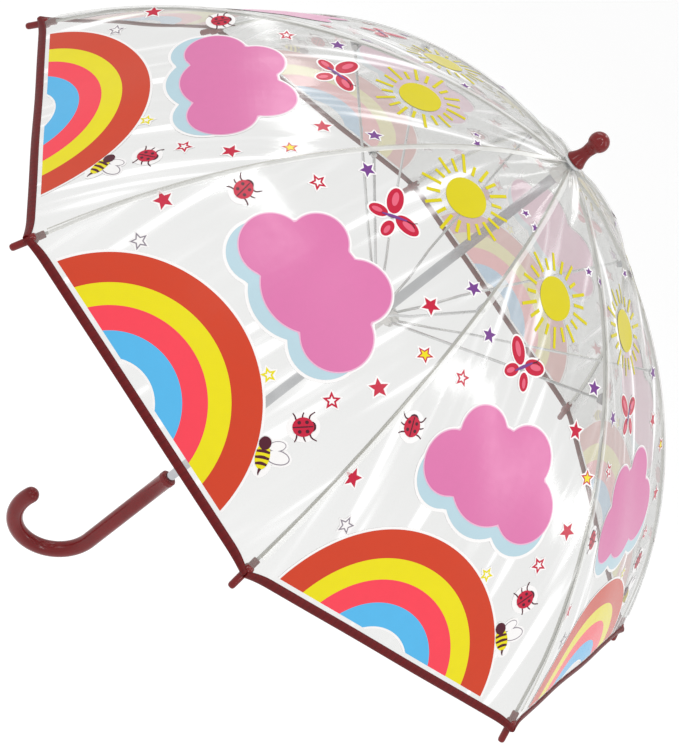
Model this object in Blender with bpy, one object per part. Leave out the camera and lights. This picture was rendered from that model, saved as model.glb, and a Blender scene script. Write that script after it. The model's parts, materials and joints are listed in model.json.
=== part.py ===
"""A child's dome umbrella, open: eight ribs under a clear film canopy, a sliding runner and a crook handle.

The origin is on the shaft's axis at the middle of the grip, +Z runs up to the crown, and the crook
bends towards +X. All sizes are in metres.
"""

import math

import bmesh
import bpy
from mathutils import Matrix, Vector

# Canopy
RIBS = 8
RIB_TURN = math.radians(-18.5)  # the first rib, turned from the crook's plane
CANOPY_RADIUS = 0.340  # the circle through the ends of the seams
CROWN_SLOPE = math.radians(7)  # how far the seam falls at the crown, below horizontal
RIM_SLOPE = math.radians(62)  # and at the rim
RIM_HEIGHT = 0.260  # rim plane above the origin
FILM = 0.0004
FILM_HOLE_RADIUS = 0.0060
FILM_GAP = 0.00015  # from a half panel to the seam line or to the fold line

# Ribs and the caps on their ends
RIB_RADIUS = 0.0012
RIB_PIVOT_DROP = 0.0024  # the pivot end lies this much further under the film
RIB_PIVOT_BEND = math.radians(6)
CAP_LENGTH = 0.028
CAP_RADIUS = 0.0026
CAP_INSIDE = 0.018  # the part of a cap that lies under the film
CAP_BORE_DEPTH = 0.020
RIB_END_GAP = 0.0018  # between the rod's end and the bottom of its cap's bore
RIB_TIP_DROP = 0.0016

# Shaft, crown and handle
SHAFT_RADIUS = 0.0040
SHAFT_WALL = 0.0006
SHAFT_IN_HANDLE = 0.040
HANDLE_RADIUS = 0.0071
GRIP_HALF_LENGTH = 0.052
CROOK_RADIUS = 0.036
CROOK_SWEEP = math.radians(193)
WASHER_RADIUS = 0.0074
WASHER_THICKNESS = 0.0025
FINIAL_BASE_RADIUS = 0.0080
FINIAL_NECK_RADIUS = 0.0048
FINIAL_BALL_RADIUS = 0.0080
FINIAL_BALL_HEIGHT = 0.0233  # the ball's centre above the finial's base
FINIAL_RIM = 0.0018
FINIAL_FLARE_HEIGHT = 0.0105
SPIGOT = 0.0057  # the shaft's end inside the finial

# Pivots: a wire ring through an eye on each rib and each stretcher
EYE_RADIUS = 0.0021
EYE_THICKNESS = 0.0020
RING_WIRE_RADIUS = 0.0005
NOTCH_RING_RADIUS = 0.0090
NOTCH_RADIUS = 0.0115
NOTCH_HUB_RADIUS = 0.0064
NOTCH_HUB_LENGTH = 0.011
NOTCH_LIP = 0.0002
RUNNER_RING_RADIUS = 0.0113
RUNNER_FLANGE_RADIUS = 0.0140
RUNNER_RADIUS = 0.0086
RUNNER_LENGTH = 0.034
RUNNER_FOOT_RADIUS = 0.0108
FOOT_HEIGHT = 0.004
RUNNER_PIVOT_HEIGHT = 0.302  # above the origin, with the canopy open
FLANGE_HALF_HEIGHT = 0.0030
SKIRT = 0.0030  # the cone under the runner's flange

# Stretchers, which push the ribs out
STRETCHER_RADIUS = 0.0011
BRACKET_ANGLE = math.radians(30.5)  # the slope of the rib where its bracket sits
BRACKET_DEPTH = 0.0036  # the bracket's pivot below the rib's centre line
BRACKET_LENGTH = 0.0090
BRACKET_THICKNESS = 0.0016
BRACKET_TAB = 0.0020  # half the width of the tab's lower end
JOGGLE = (0.15, 0.30)  # where along its length a stretcher steps aside from the rib's plane

# Spring catches in the shaft
CATCH_THICKNESS = 0.0012
CATCH_REACH = 0.0072
CATCH_LENGTH = 0.016
CATCH_TAIL = 0.006
CATCH_INNER = 0.0008  # the catch's straight back, from the shaft's axis
CATCH_LIP = 0.0015
CATCH_HINGE = 0.001  # the hinge, above the catch's thin end
CATCH_RISE = 0.0009

RIB_SWING = math.radians(53.5)  # how far each rib turns down as the canopy closes

CLEARANCE = 0.0003
PAST = 0.001  # how far a cutter runs past what it cuts
EDGE = 0.0006  # the bevel on a moulded rim
SIDES = 24
HANDLE_SIDES = 20
CROOK_STEPS = 20
CAP_SIDES = 12
BORE_SIDES = 10
ROD_SIDES = 6
RING_STEPS = 32
RIB_STEPS = 22
FILM_STEPS = 20

for old in list(bpy.data.objects):
    bpy.data.objects.remove(old)


def plastic(name, colour, roughness, metallic=0.0, alpha=1.0):
    """A Principled material with the piece's own finish."""
    material = bpy.data.materials.new(name)
    material.use_nodes = True
    shader = material.node_tree.nodes["Principled BSDF"]
    shader.inputs["Base Color"].default_value = (*colour, 1.0)
    shader.inputs["Roughness"].default_value = roughness
    shader.inputs["Metallic"].default_value = metallic
    shader.inputs["Alpha"].default_value = alpha
    return material


MAROON = plastic("maroon_plastic", (0.156, 0.008, 0.011), 0.25)
CHROME = plastic("chromed_steel", (0.62, 0.62, 0.63), 0.15, metallic=1.0)
WHITE_ROD = plastic("white_rod", (0.80, 0.80, 0.79), 0.35)
WHITE_PLASTIC = plastic("white_plastic", (0.75, 0.75, 0.74), 0.4)
CLEAR_FILM = plastic("clear_film", (0.85, 0.85, 0.84), 0.08, alpha=0.35)


# Geometry that several pieces share

ARC_RADIUS = CANOPY_RADIUS / (math.sin(RIM_SLOPE) - math.sin(CROWN_SLOPE))
ARC_CENTRE = Vector((-ARC_RADIUS * math.sin(CROWN_SLOPE), 0, RIM_HEIGHT))
ARC_CENTRE.z -= ARC_RADIUS * math.cos(RIM_SLOPE)
HALF_GORE = math.pi / RIBS


def seam_point(slope, inset=0.0):
    """A point of the seam's circular arc in the XZ plane, where it falls at this slope, moved inwards."""
    return ARC_CENTRE + (ARC_RADIUS - inset) * Vector((math.sin(slope), 0, math.cos(slope)))


def slope_at(radius, inset=0.0):
    return math.asin((radius - ARC_CENTRE.x) / (ARC_RADIUS - inset))


RIB_INSET = FILM / 2 + CLEARANCE + RIB_RADIUS
PIVOT_INSET = RIB_INSET + RIB_PIVOT_DROP
PIVOT_SLOPE = slope_at(NOTCH_RING_RADIUS, PIVOT_INSET)
CAP_SLOPE = RIM_SLOPE - CAP_INSIDE / ARC_RADIUS
NOTCH_PIVOT = seam_point(PIVOT_SLOPE, PIVOT_INSET)
CROWN_HEIGHT = seam_point(slope_at(FILM_HOLE_RADIUS)).z + FILM / 2
WASHER_BASE = CROWN_HEIGHT + CLEARANCE
FINIAL_BASE = WASHER_BASE + WASHER_THICKNESS + CLEARANCE
SHAFT_TOP = FINIAL_BASE + SPIGOT
SHAFT_BOTTOM = GRIP_HALF_LENGTH - SHAFT_IN_HANDLE
RUNNER_PIVOT = Vector((RUNNER_RING_RADIUS, 0, RUNNER_PIVOT_HEIGHT))
BRACKET_PIVOT = seam_point(BRACKET_ANGLE, RIB_INSET + BRACKET_DEPTH)
SLOT = max(EYE_THICKNESS + 2 * CLEARANCE, 2 * RIB_RADIUS + CLEARANCE / 2)  # rods lie in slots too
SHAFT_BORE = SHAFT_RADIUS + CLEARANCE
# The stretcher's outer end passes beside the rib and its bracket, never through them.
STRETCHER_OFFSET = RIB_RADIUS + CLEARANCE + max(EYE_THICKNESS / 2, STRETCHER_RADIUS)


def rib_inset(slope):
    """How far the rib lies under the film: a little more at its pivot and, for the cap, at its tip."""
    near_pivot = max(0.0, 1 - (slope - PIVOT_SLOPE) / RIB_PIVOT_BEND)
    near_tip = min(1.0, max(0.0, 1 - (CAP_SLOPE - slope) / RIB_PIVOT_BEND))
    return RIB_INSET + RIB_PIVOT_DROP * near_pivot**2 + RIB_TIP_DROP * near_tip**2 * (3 - 2 * near_tip)


def runner_travel():
    """How far the runner slides down the shaft while the ribs turn through their whole swing."""
    bracket = Matrix.Rotation(RIB_SWING, 3, "Y") @ (BRACKET_PIVOT - NOTCH_PIVOT) + NOTCH_PIVOT
    length = (BRACKET_PIVOT - RUNNER_PIVOT).length
    return RUNNER_PIVOT.z - bracket.z + math.sqrt(length**2 - (bracket.x - RUNNER_PIVOT.x) ** 2)


def turned_by(k, half=0.0):
    return Matrix.Rotation(RIB_TURN + 2 * HALF_GORE * (k + half), 4, "Z")


# Mesh tools


def finished(name, bm, material, parent=None, matrix=None):
    """The object of a finished mesh, in the parent's place, shaded smooth but for its hard edges."""
    bmesh.ops.recalc_face_normals(bm, faces=bm.faces)
    mesh = bpy.data.meshes.new(name)
    if matrix is not None:
        bm.transform(matrix)
    bm.to_mesh(mesh)
    bm.free()
    mesh.materials.append(material)
    mesh.shade_smooth()
    mesh.set_sharp_from_angle(angle=math.radians(40))
    obj = bpy.data.objects.new(name, mesh)
    bpy.context.scene.collection.objects.link(obj)
    obj.parent = parent
    return obj


def pivot(name, place, matrix):
    """An empty on a joint's axis, which its moving pieces hang from. They are modelled in the rib's plane."""
    empty = bpy.data.objects.new(name, None)
    bpy.context.scene.collection.objects.link(empty)
    empty.matrix_world = matrix @ Matrix.Translation(place)
    return empty


def turned(outline):
    """A closed outline of (radius, height) points, turned about the Z axis."""
    bm = bmesh.new()
    rings = []
    for i in range(SIDES):
        a = 2 * math.pi * i / SIDES
        rings.append([bm.verts.new((r * math.cos(a), r * math.sin(a), z)) for r, z in outline])
    for ring, after in zip(rings, rings[1:] + rings[:1]):
        for i in range(len(outline)):
            j = (i + 1) % len(outline)
            if outline[i][0] > 0 or outline[j][0] > 0:
                bm.faces.new((ring[i], ring[j], after[j], after[i]))
    bmesh.ops.remove_doubles(bm, verts=bm.verts, dist=1e-7)
    return bm


def tube(path, radius, sides=ROD_SIDES, across=Vector((0, 1, 0)), closed=False):
    """A round bar along a path that keeps to one plane, whose normal is across."""
    bm = bmesh.new()
    rings = []
    for i, point in enumerate(path):
        before = path[i - 1] if i or closed else point
        after = path[(i + 1) % len(path)] if closed or i + 1 < len(path) else point
        out = (after - before).normalized().cross(across).normalized()
        width = radius[i] if isinstance(radius, list) else radius
        turns = [2 * math.pi * (n + 0.5) / sides for n in range(sides)]
        around = [width * (math.cos(turn) * out + math.sin(turn) * across) for turn in turns]
        rings.append([bm.verts.new(point + offset) for offset in around])
    pairs = list(zip(rings, rings[1:])) + ([(rings[-1], rings[0])] if closed else [])
    for ring, after in pairs:
        for i in range(sides):
            j = (i + 1) % sides
            bm.faces.new((ring[i], ring[j], after[j], after[i]))
    if not closed:
        bm.faces.new(rings[0])
        bm.faces.new(rings[-1])
    return bm


def ring_wire(radius, height, wire):
    turns = [2 * math.pi * i / RING_STEPS for i in range(RING_STEPS)]
    path = [Vector((radius * math.cos(a), radius * math.sin(a), height)) for a in turns]
    return tube(path, wire, across=Vector((0, 0, 1)), closed=True)


def plate(outline, middle, thickness):
    """A flat piece in the XZ plane, from its outline of (x, z) points, about y = middle."""
    bm = bmesh.new()
    near = [bm.verts.new((x, middle - thickness / 2, z)) for x, z in outline]
    far = [bm.verts.new((x, middle + thickness / 2, z)) for x, z in outline]
    bm.faces.new(near)
    bm.faces.new(far[::-1])
    for i in range(len(outline)):
        j = (i + 1) % len(outline)
        bm.faces.new((near[i], far[i], far[j], near[j]))
    return bm


def disc(place, radius, thickness, segments=16):
    """A short cylinder across the rib's plane, centred on a point."""
    angles = [2 * math.pi * i / segments for i in range(segments)]
    outline = [(place.x + radius * math.cos(a), place.z + radius * math.sin(a)) for a in angles]
    return plate(outline, place.y, thickness)


def combine(obj, bm, operation, name):
    """Joins a helper shape to the object or cuts it away, and keeps the helper out of the model."""
    helper = finished(name, bm, obj.data.materials[0], obj.parent)
    helper.hide_render = True
    helper.display_type = "WIRE"
    modifier = obj.modifiers.new(name, "BOOLEAN")
    modifier.operation = operation
    modifier.object = helper


def in_place(bm, place):
    """Moves a mesh that was modelled where it belongs so that the joint's place is its origin."""
    bm.transform(Matrix.Translation(-place))
    return bm


# Handle and shaft


def handle():
    """The crook, with a socket for the shaft in its upper end."""
    path = [Vector((0, 0, GRIP_HALF_LENGTH)), Vector((0, 0, GRIP_HALF_LENGTH - EDGE))]
    path += [Vector((0, 0, GRIP_HALF_LENGTH * share)) for share in (0.5, 0.0, -0.5)]
    centre = Vector((CROOK_RADIUS, 0, -GRIP_HALF_LENGTH))
    for i in range(CROOK_STEPS + 1):
        turn = CROOK_SWEEP * i / CROOK_STEPS
        path.append(centre - CROOK_RADIUS * Vector((math.cos(turn), 0, math.sin(turn))))
    widths = [HANDLE_RADIUS - EDGE] + [HANDLE_RADIUS] * (len(path) - 1)
    end = path[len(path) - 1]
    onward = Vector((math.sin(CROOK_SWEEP), 0, -math.cos(CROOK_SWEEP)))
    for degrees in (22.5, 45, 67.5, 85):
        turn = math.radians(degrees)
        path.append(end + onward * HANDLE_RADIUS * math.sin(turn))
        widths.append(HANDLE_RADIUS * math.cos(turn))
    body = finished("handle", tube(path, widths, sides=HANDLE_SIDES), MAROON)
    socket = [
        (0, GRIP_HALF_LENGTH + PAST),
        (0, SHAFT_BOTTOM - CLEARANCE),
        (SHAFT_BORE, SHAFT_BOTTOM - CLEARANCE),
        (SHAFT_BORE, GRIP_HALF_LENGTH + PAST),
    ]
    combine(body, turned(socket), "DIFFERENCE", "handle_socket")


def catch_slot(flat_end, rises):
    """The opening in the shaft's wall for a catch. A pressed catch's corner swings past its flat end."""
    low, high = flat_end - CATCH_LENGTH - CLEARANCE, flat_end + CATCH_RISE + CLEARANCE
    if not rises:
        low, high = flat_end - CATCH_RISE - CLEARANCE, flat_end + CATCH_LENGTH + CLEARANCE
    outer = SHAFT_RADIUS + PAST
    outline = [(PAST, low), (outer, low), (outer, high), (PAST, high)]
    bm = plate(outline, 0, CATCH_THICKNESS + 2 * CLEARANCE)
    bm.transform(turned_by(0, 0.5))
    return bm


OPEN_CATCH_TOP = RUNNER_PIVOT_HEIGHT + FLANGE_HALF_HEIGHT - RUNNER_LENGTH - CLEARANCE
CLOSED_CATCH_TOP = RUNNER_PIVOT_HEIGHT + FLANGE_HALF_HEIGHT - runner_travel() + CLEARANCE


def shaft():
    inner = SHAFT_RADIUS - SHAFT_WALL
    outline = [
        (SHAFT_RADIUS, SHAFT_TOP),
        (SHAFT_RADIUS, SHAFT_BOTTOM),
        (inner, SHAFT_BOTTOM),
        (inner, SHAFT_TOP),
    ]
    tube_body = finished("shaft", turned(outline), CHROME)
    combine(tube_body, catch_slot(OPEN_CATCH_TOP, True), "DIFFERENCE", "open_catch_slot")
    combine(tube_body, catch_slot(CLOSED_CATCH_TOP, False), "DIFFERENCE", "closed_catch_slot")


def catch(name, flat_end, rises):
    """A spring catch: a wedge whose flat end holds the runner, hinged inside the shaft at its thin end."""
    way = 1 if rises else -1
    root = CATCH_LENGTH + CATCH_TAIL
    tail = SHAFT_RADIUS - SHAFT_WALL - 2 * CLEARANCE
    outline = [
        (CATCH_INNER, 0),
        (CATCH_REACH, 0),
        (CATCH_REACH, -CATCH_LIP),
        (SHAFT_RADIUS - CLEARANCE, CATCH_LIP / 2 - CATCH_LENGTH),
        (tail, -CATCH_LIP - CATCH_LENGTH),
        (tail, -root),
        (CATCH_INNER, -root),
    ]
    bm = plate([(x, flat_end + way * z) for x, z in outline], 0, CATCH_THICKNESS)
    place = Vector((CATCH_INNER, 0, flat_end - way * (root - CATCH_HINGE)))
    empty = pivot(name + "_pivot", place, turned_by(0, 0.5))
    finished(name, in_place(bm, place), CHROME, empty)


# Crown


def finial():
    """The knob on the crown: a flared base, a waist and a ball, with a socket for the shaft's end."""
    base = FINIAL_BASE
    outline = [(0, base), (FINIAL_BASE_RADIUS - EDGE, base), (FINIAL_BASE_RADIUS, base + EDGE)]
    flare = FINIAL_BASE_RADIUS - FINIAL_NECK_RADIUS
    steps = 5
    for i in range(steps + 1):
        share = i / steps
        radius = FINIAL_NECK_RADIUS + flare * (1 - share) ** 2
        outline.append((radius, base + FINIAL_RIM + FINIAL_FLARE_HEIGHT * share))
    ball = base + FINIAL_BALL_HEIGHT
    join = math.asin(FINIAL_NECK_RADIUS / FINIAL_BALL_RADIUS)
    steps = 8
    for i in range(steps + 1):
        turn = (math.pi - join) * (1 - i / steps)
        outline.append((FINIAL_BALL_RADIUS * math.sin(turn), ball + FINIAL_BALL_RADIUS * math.cos(turn)))
    outline[-1] = (0, ball + FINIAL_BALL_RADIUS)
    knob = finished("finial", turned(outline), MAROON)
    socket = [
        (0, SHAFT_TOP + CLEARANCE),
        (0, FINIAL_BASE - PAST),
        (SHAFT_BORE, FINIAL_BASE - PAST),
        (SHAFT_BORE, SHAFT_TOP + CLEARANCE),
    ]
    combine(knob, turned(socket), "DIFFERENCE", "finial_socket")


def crown_washer():
    outline = [
        (WASHER_RADIUS, WASHER_BASE),
        (WASHER_RADIUS, WASHER_BASE + WASHER_THICKNESS),
        (SHAFT_BORE, WASHER_BASE + WASHER_THICKNESS),
        (SHAFT_BORE, WASHER_BASE),
    ]
    finished("crown_washer", turned(outline[::-1]), CLEAR_FILM)


def cut_slots(obj, ring_radius, outer, low, high):
    """Cuts an upright slot for each rib's eye into a hub whose pivots lie on a ring."""
    inner = ring_radius - EYE_RADIUS - CLEARANCE
    for k in range(RIBS):
        bm = plate([(inner, low), (outer, low), (outer, high), (inner, high)], 0, SLOT)
        bm.transform(turned_by(k))
        combine(obj, bm, "DIFFERENCE", f"{obj.name}_slot_{k + 1}")


def top_notch():
    """The slotted hub that the ribs hinge in, fixed to the shaft under the film."""
    z = NOTCH_PIVOT.z
    top = z + EYE_RADIUS + NOTCH_LIP
    outline = [
        (NOTCH_RADIUS, top),
        (NOTCH_RADIUS, z - FLANGE_HALF_HEIGHT),
        (NOTCH_HUB_RADIUS, z - FLANGE_HALF_HEIGHT),
        (NOTCH_HUB_RADIUS, z - NOTCH_HUB_LENGTH),
        (SHAFT_BORE, z - NOTCH_HUB_LENGTH),
        (SHAFT_BORE, top),
    ]
    hub = finished("top_notch", turned(outline), WHITE_PLASTIC)
    cut_slots(hub, NOTCH_RING_RADIUS, NOTCH_RADIUS + PAST, z - FLANGE_HALF_HEIGHT - PAST, top + PAST)
    channel = ring_wire(NOTCH_RING_RADIUS, z, RING_WIRE_RADIUS + CLEARANCE)
    combine(hub, channel, "DIFFERENCE", "notch_channel")
    finished("notch_ring", ring_wire(NOTCH_RING_RADIUS, z, RING_WIRE_RADIUS), CHROME)


# Runner


def runner():
    """The sleeve that slides on the shaft. A keyway in its bore clears the spring catches."""
    empty = pivot("runner_slide", Vector((0, 0, RUNNER_PIVOT_HEIGHT)), Matrix.Identity(4))
    top = FLANGE_HALF_HEIGHT
    foot = top - RUNNER_LENGTH
    outline = [
        (RUNNER_FLANGE_RADIUS, top),
        (RUNNER_FLANGE_RADIUS, -FLANGE_HALF_HEIGHT),
        (RUNNER_RADIUS, -FLANGE_HALF_HEIGHT - SKIRT),
        (RUNNER_RADIUS, foot + 2 * FOOT_HEIGHT),
        (RUNNER_FOOT_RADIUS, foot + FOOT_HEIGHT),
        (RUNNER_FOOT_RADIUS, foot),
        (SHAFT_BORE, foot),
        (SHAFT_BORE, top),
    ]
    sleeve = finished("runner", turned(outline), WHITE_PLASTIC, empty)
    low, high = -FLANGE_HALF_HEIGHT - SKIRT - PAST, top + PAST
    cut_slots(sleeve, RUNNER_RING_RADIUS, RUNNER_FLANGE_RADIUS + PAST, low, high)
    reach = CATCH_REACH + CLEARANCE
    outline = [(PAST, foot - PAST), (reach, foot - PAST), (reach, high), (PAST, high)]
    keyway = plate(outline, 0, CATCH_THICKNESS + 2 * CLEARANCE)
    keyway.transform(turned_by(0, 0.5))
    combine(sleeve, keyway, "DIFFERENCE", "runner_keyway")
    channel = ring_wire(RUNNER_RING_RADIUS, 0, RING_WIRE_RADIUS + CLEARANCE)
    combine(sleeve, channel, "DIFFERENCE", "runner_channel")
    finished("runner_ring", ring_wire(RUNNER_RING_RADIUS, 0, RING_WIRE_RADIUS), CHROME, empty)


# Ribs, with what hangs on each


def eye(place, hole, name, obj):
    """Joins a flat eye to a rod at a pivot, and drills it for the ring wire."""
    combine(obj, disc(place, EYE_RADIUS, EYE_THICKNESS), "UNION", name + "_eye")
    combine(obj, disc(place, hole, 4 * EYE_THICKNESS, BORE_SIDES), "DIFFERENCE", name + "_hole")


def rib(k, empty):
    """One rod from the notch to inside its tip cap, following the seam."""
    path = []
    for i in range(RIB_STEPS + 1):
        slope = PIVOT_SLOPE + (CAP_SLOPE - PIVOT_SLOPE) * i / RIB_STEPS
        path.append(seam_point(slope, rib_inset(slope)) - NOTCH_PIVOT)
    onward = Vector((math.cos(CAP_SLOPE), 0, -math.sin(CAP_SLOPE)))
    path[0] = path[0] + (path[1] - path[0]).normalized() * (RING_WIRE_RADIUS + 2 * CLEARANCE)
    path.append(path[len(path) - 1] + onward * (CAP_BORE_DEPTH - RIB_END_GAP))
    rod = finished(f"rib_{k + 1}", tube(path, RIB_RADIUS), WHITE_ROD, empty)
    eye(Vector((0, 0, 0)), RING_WIRE_RADIUS + CLEARANCE, f"rib_{k + 1}", rod)


def tip_cap(k, empty):
    """The cap on the rib's end, with round ends and a blind bore for the rod."""
    start = seam_point(CAP_SLOPE, rib_inset(CAP_SLOPE)) - NOTCH_PIVOT
    onward = Vector((math.cos(CAP_SLOPE), 0, -math.sin(CAP_SLOPE)))
    round_end = CAP_LENGTH - CAP_RADIUS / 2
    shape = [(0, CAP_RADIUS - EDGE), (EDGE, CAP_RADIUS), (round_end, CAP_RADIUS)]
    shape += [(round_end + CAP_RADIUS / 3, 0.8 * CAP_RADIUS), (CAP_LENGTH, 0.4 * CAP_RADIUS)]
    path = [start + onward * along for along, width in shape]
    body = tube(path, [width for along, width in shape], sides=CAP_SIDES)
    cap = finished(f"tip_cap_{k + 1}", body, MAROON, empty)
    bore = [start - onward * PAST, start + onward * CAP_BORE_DEPTH]
    bore_mesh = tube(bore, RIB_RADIUS + CLEARANCE, sides=BORE_SIDES)
    combine(cap, bore_mesh, "DIFFERENCE", f"tip_cap_{k + 1}_bore")


def bracket(k, empty):
    """A tab under the rod, which the stretcher's end pivots beside."""
    middle = seam_point(BRACKET_ANGLE, RIB_INSET) - NOTCH_PIVOT
    along = Vector((math.cos(BRACKET_ANGLE), 0, -math.sin(BRACKET_ANGLE)))
    down = -Vector((math.sin(BRACKET_ANGLE), 0, math.cos(BRACKET_ANGLE)))
    near = RIB_RADIUS + CLEARANCE
    far = BRACKET_DEPTH + EYE_RADIUS
    half = BRACKET_LENGTH / 2
    corners = [(-half, near), (half, near), (BRACKET_TAB, far), (-BRACKET_TAB, far)]
    outline = [middle + along * a + down * d for a, d in corners]
    tab = plate([(p.x, p.z) for p in outline], 0, BRACKET_THICKNESS)
    finished(f"bracket_{k + 1}", tab, CHROME, empty)


def stretcher(k):
    """The strut from the runner up to the rib's bracket. It turns on the runner's ring."""
    empty = pivot(f"stretcher_{k + 1}_pivot", RUNNER_PIVOT, turned_by(k))
    reach = BRACKET_PIVOT - RUNNER_PIVOT
    along = reach.normalized()
    aside = Vector((0, STRETCHER_OFFSET, 0))
    path = [along * (RING_WIRE_RADIUS + 2 * CLEARANCE), reach * JOGGLE[0], reach * JOGGLE[1] + aside]
    path.append(reach + aside - along * (EYE_RADIUS - CLEARANCE))
    upright = along.cross(Vector((0, 1, 0)))
    strut = finished(f"stretcher_{k + 1}", tube(path, STRETCHER_RADIUS, across=upright), CHROME, empty)
    eye(Vector((0, 0, 0)), RING_WIRE_RADIUS + CLEARANCE, f"stretcher_{k + 1}", strut)
    combine(strut, disc(reach + aside, EYE_RADIUS, EYE_THICKNESS), "UNION", f"stretcher_{k + 1}_end")


def film_half(k, side):
    """Half a gore of film, from the seam over rib k to the fold line in the middle of the gore.

    Its fold turns about an axis through the point where the rib's pivot line meets the gore's own.
    """
    first = slope_at(FILM_HOLE_RADIUS)
    bm = bmesh.new()
    rows = []
    for i in range(FILM_STEPS + 1):
        point = seam_point(first + (RIM_SLOPE - first) * i / FILM_STEPS)
        half_width = point.x * math.sin(HALF_GORE)
        along = Vector((-math.sin(HALF_GORE), math.cos(HALF_GORE), 0))
        near = point + along * FILM_GAP / math.cos(HALF_GORE)
        far = point + along * (half_width - FILM_GAP)
        rows.append([bm.verts.new((p.x, side * p.y, p.z)) for p in (near, far)])
    for row, after in zip(rows, rows[1:]):
        bm.faces.new((row[0], row[1], after[1], after[0]))
    name = f"film_{k + 1}_{'left' if side > 0 else 'right'}"
    aside = side * NOTCH_RING_RADIUS * math.tan(HALF_GORE / 2)
    meeting = Vector((NOTCH_RING_RADIUS, aside, NOTCH_PIVOT.z))
    fold = pivot(name + "_fold", meeting, turned_by(k))
    panel = finished(name, in_place(bm, meeting), CLEAR_FILM, fold)
    skin = panel.modifiers.new("thickness", "SOLIDIFY")
    skin.thickness = FILM
    skin.offset = 0


handle()
shaft()
catch("open_catch", OPEN_CATCH_TOP, True)
catch("closed_catch", CLOSED_CATCH_TOP, False)
top_notch()
crown_washer()
finial()
runner()
for number in range(RIBS):
    hinge = pivot(f"rib_{number + 1}_pivot", NOTCH_PIVOT, turned_by(number))
    rib(number, hinge)
    tip_cap(number, hinge)
    bracket(number, hinge)
    stretcher(number)
    film_half(number, 1)
    film_half(number, -1)
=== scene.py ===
"""A children's dome umbrella, open: printed clear film on eight ribs, with a crook handle.

The sections follow the umbrella as it is put together. Sizes are in metres, in the frame's axes.
"""

import json
import math

import bpy
import numpy as np
from mathutils import Matrix, Vector

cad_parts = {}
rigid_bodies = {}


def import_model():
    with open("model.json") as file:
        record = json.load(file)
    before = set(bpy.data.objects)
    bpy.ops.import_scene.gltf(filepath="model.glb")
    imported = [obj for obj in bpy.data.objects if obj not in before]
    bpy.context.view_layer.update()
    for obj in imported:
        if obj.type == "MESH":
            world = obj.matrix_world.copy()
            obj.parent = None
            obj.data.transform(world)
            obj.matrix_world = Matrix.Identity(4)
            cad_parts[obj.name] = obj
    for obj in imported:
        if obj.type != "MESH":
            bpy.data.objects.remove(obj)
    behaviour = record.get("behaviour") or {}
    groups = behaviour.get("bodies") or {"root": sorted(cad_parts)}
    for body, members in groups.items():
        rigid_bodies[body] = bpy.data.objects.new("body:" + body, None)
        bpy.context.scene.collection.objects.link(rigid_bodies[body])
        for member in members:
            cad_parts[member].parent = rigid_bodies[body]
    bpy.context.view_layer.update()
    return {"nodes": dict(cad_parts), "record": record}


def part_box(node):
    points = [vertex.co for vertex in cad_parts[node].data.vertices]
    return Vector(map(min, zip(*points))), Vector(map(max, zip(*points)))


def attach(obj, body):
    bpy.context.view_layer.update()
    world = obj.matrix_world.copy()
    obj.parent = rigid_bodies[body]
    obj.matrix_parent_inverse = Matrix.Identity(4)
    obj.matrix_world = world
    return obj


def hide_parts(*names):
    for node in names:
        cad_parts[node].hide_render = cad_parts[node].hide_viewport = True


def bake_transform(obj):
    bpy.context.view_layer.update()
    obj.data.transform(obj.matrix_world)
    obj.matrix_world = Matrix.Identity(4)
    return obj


bpy.ops.object.select_all(action="SELECT")
bpy.ops.object.delete()
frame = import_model()


# Camera
# It looks down a little on the open canopy and is rolled, so that the shaft rises to the right.

aim = Vector((-0.0174, 0.0111, 0.2355))
camera_azimuth = math.radians(57.47)
camera_elevation = math.radians(26.06)
camera_roll = math.radians(52.44)
camera_distance = 1.466
away = Vector(
    (
        math.cos(camera_elevation) * math.cos(camera_azimuth),
        math.cos(camera_elevation) * math.sin(camera_azimuth),
        math.sin(camera_elevation),
    )
)
bpy.ops.object.camera_add(location=aim + away * camera_distance)
camera = bpy.context.object
camera.data.lens = 87.5
level = (-away).to_track_quat("-Z", "Y").to_matrix()
camera.rotation_euler = (level @ Matrix.Rotation(camera_roll, 3, "Z")).to_euler()
bpy.context.scene.camera = camera
bpy.context.scene.view_settings.view_transform = "Standard"


# Frame pieces
# The drawn-steel and moulded pieces keep the shapes that the frame gives them. Each is a welded
# copy, smooth over its round faces and sharp at its edges. Their finishes come first, in which a
# Wire is one socket of a node, and its operators add Math nodes.


class Wire:
    """One output of a node, or of a sum that its operators built."""

    def __init__(self, finish, socket):
        self.finish = finish
        self.socket = socket

    def maths(self, operation, first, second):
        return self.finish.node("ShaderNodeMath", {"operation": operation}, {0: first, 1: second})

    def __add__(self, other):
        return self.maths("ADD", self, other)

    def __sub__(self, other):
        return self.maths("SUBTRACT", self, other)

    def __rsub__(self, other):
        return self.maths("SUBTRACT", other, self)

    def __mul__(self, other):
        return self.maths("MULTIPLY", self, other)

    def __pow__(self, other):
        return self.maths("POWER", self, other)

    __radd__ = __add__
    __rmul__ = __mul__


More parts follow.
